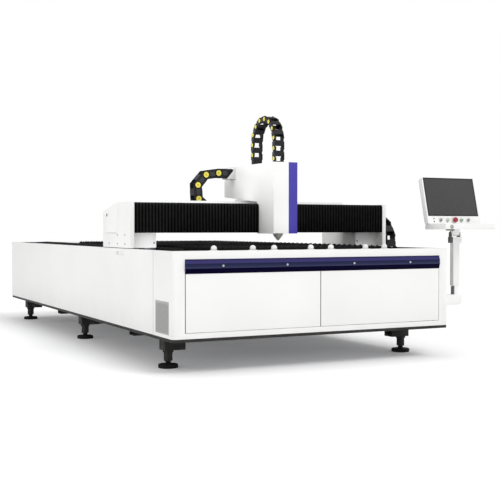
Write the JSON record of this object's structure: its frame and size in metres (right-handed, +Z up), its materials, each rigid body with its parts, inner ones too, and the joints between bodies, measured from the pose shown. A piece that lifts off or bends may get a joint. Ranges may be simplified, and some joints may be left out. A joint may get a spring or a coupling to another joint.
{
  "type": "fiber laser cutting machine",
  "caption": "Flat-bed laser cutting machine with a moving gantry, covered cutting head, toothed slat bed, cable chains and a swing-arm control console.",
  "frame": {"origin": "bottom centre of the bounding box, on the floor", "axes": "+Z up, +Y from the operator's front to the rear along the bed, +X to the operator's right, where the console is"},
  "size_m": [2.716, 4.98, 1.9015],
  "materials": {
    "white_paint": "satin powder coat",
    "black_paint": "matt paint",
    "bare_steel": "ground",
    "grey_paint": "satin powder coat",
    "blue_paint": "satin paint",
    "chain_plastic": "moulded, yellow pivot caps",
    "bellows_cloth": "coated cloth",
    "screen_panel": "gloss",
    "motor_black": "black paint",
    "black_rubber": "matt",
    "white_aluminium": "white powder coat",
    "machined_aluminium": "machined",
    "nozzle_brass": "turned",
    "red_plastic": "gloss",
    "green_plastic": "gloss",
    "pale_green_plastic": "gloss",
    "black_plastic": "matt",
    "grey_plastic": "matt",
    "white_nylon": "smooth"
  },
  "bodies": {
    "bed": {"side_beams": "black_paint", "cross_members": "black_paint", "left_side_panel": "white_paint", "right_side_panel": "white_paint", "rear_panel": "white_paint", "rear_deck": "white_paint", "front_cover": "white_paint", "front_trim": "blue_paint", "trim_screws": "bare_steel", "side_vent": "grey_paint", "slats": "black_paint", "slat_combs": "black_paint", "slag_trays": "bare_steel", "loading_balls": "white_nylon", "y_rails": "bare_steel", "y_racks": "bare_steel", "foot_brackets": "black_paint", "foot_studs": "bare_steel", "foot_pads": "black_rubber", "y_chain_tray": "grey_paint", "y_cable_chain": "chain_plastic", "console_arm": "white_paint"},
    "door_left": {"left_door": "white_paint"},
    "door_right": {"right_door": "white_paint"},
    "gantry": {"gantry_beam": "white_paint", "gantry_end_plates": "white_aluminium", "end_plate_screws": "bare_steel", "motor_covers": "white_aluminium", "gantry_carriages": "white_aluminium", "y_guide_blocks": "bare_steel", "y_servo_motors": "motor_black", "x_rails": "bare_steel", "x_rack": "bare_steel", "left_bellows": "bellows_cloth", "right_bellows": "bellows_cloth", "x_chain_tray": "grey_paint", "x_cable_chain": "chain_plastic"},
    "pinion_left": {"left_y_pinion": "bare_steel"},
    "pinion_right": {"right_y_pinion": "bare_steel"},
    "head_carriage": {"x_carriage": "machined_aluminium", "x_guide_blocks": "bare_steel", "head_cover": "white_aluminium", "head_stripe": "blue_paint", "x_servo_motor": "motor_black", "x_chain_bracket": "grey_paint", "z_actuator": "machined_aluminium", "z_cable_chain": "chain_plastic"},
    "pinion_head": {"x_pinion": "bare_steel"},
    "head": {"z_slide": "machined_aluminium", "cutting_head": "machined_aluminium", "nozzle": "nozzle_brass"},
    "console_post": {"console_pole": "white_paint"},
    "console": {"console_housing": "white_aluminium", "console_screen": "screen_panel", "console_shelf": "white_aluminium"},
    "stop_cap": {"emergency_stop": "red_plastic"},
    "start_cap": {"start_button": "green_plastic"},
    "reset_cap": {"reset_button": "pale_green_plastic"},
    "key_knob": {"key_switch": "black_plastic"},
    "mode_knob": {"mode_selector": "grey_plastic"}
  },
  "joints": [
    {"name": "gantry_slide", "type": "slide", "parent": "bed", "child": "gantry", "axis": [0, 1, 0], "range_m": [-0.2, 2.7], "deforming": ["y_cable_chain"]},
    {"name": "head_cross_slide", "type": "slide", "parent": "gantry", "child": "head_carriage", "axis": [1, 0, 0], "range_m": [-0.72, 0.71], "deforming": ["left_bellows", "right_bellows", "x_cable_chain"]},
    {"name": "head_lift", "type": "slide", "parent": "head_carriage", "child": "head", "axis": [0, 0, 1], "range_m": [-0.015, 0.075], "deforming": ["z_cable_chain"]},
    {"name": "left_door_hinge", "type": "hinge", "parent": "bed", "child": "door_left", "pos_m": [-1.226, -2.396, 0.49], "axis": [0, 0, -1], "range_deg": [0, 100]},
    {"name": "right_door_hinge", "type": "hinge", "parent": "bed", "child": "door_right", "pos_m": [0.816, -2.396, 0.49], "axis": [0, 0, 1], "range_deg": [0, 100]},
    {"name": "left_pinion_spin", "type": "hinge", "parent": "gantry", "child": "pinion_left", "pos_m": [-1.249, -1.08, 0.815], "axis": [0, 0, 1], "range_deg": [-290, 3870]},
    {"name": "right_pinion_spin", "type": "hinge", "parent": "gantry", "child": "pinion_right", "pos_m": [0.839, -1.08, 0.815], "axis": [0, 0, 1], "range_deg": [-3870, 290]},
    {"name": "head_pinion_spin", "type": "hinge", "parent": "head_carriage", "child": "pinion_head", "pos_m": [-0.167, -1.244, 1.205], "axis": [0, 0, 1], "range_deg": [-1035, 1035]},
    {"name": "console_swivel", "type": "hinge", "parent": "bed", "child": "console_post", "pos_m": [1.098, -2.295, 0.5], "axis": [0, 0, 1], "range_deg": [-75, 75]},
    {"name": "console_tilt", "type": "hinge", "parent": "console_post", "child": "console", "pos_m": [1.098, -2.295, 0.956], "axis": [1, 0, 0], "range_deg": [-10, 10]},
    {"name": "stop_press", "type": "slide", "parent": "console", "child": "stop_cap", "axis": [0, 0.9703, -0.2419], "range_m": [0, 0.006]},
    {"name": "start_press", "type": "slide", "parent": "console", "child": "start_cap", "axis": [0, 0.9703, -0.2419], "range_m": [0, 0.004], "stiffness_N_per_m": 800, "springref_m": -0.002},
    {"name": "reset_press", "type": "slide", "parent": "console", "child": "reset_cap", "axis": [0, 0.9703, -0.2419], "range_m": [0, 0.004], "stiffness_N_per_m": 800, "springref_m": -0.002},
    {"name": "key_turn", "type": "hinge", "parent": "console", "child": "key_knob", "pos_m": [0.962, -2.28823, 1.06317], "axis": [0, -0.9703, 0.2419], "range_deg": [0, 90]},
    {"name": "mode_turn", "type": "hinge", "parent": "console", "child": "mode_knob", "pos_m": [1.234, -2.28823, 1.06317], "axis": [0, -0.9703, 0.2419], "range_deg": [-45, 45]}
  ],
  "couplings": [
    {"joint": "left_pinion_spin", "follows": "gantry_slide", "rad_per_m": 25},
    {"joint": "right_pinion_spin", "follows": "gantry_slide", "rad_per_m": -25},
    {"joint": "head_pinion_spin", "follows": "head_cross_slide", "rad_per_m": -25}
  ]
}
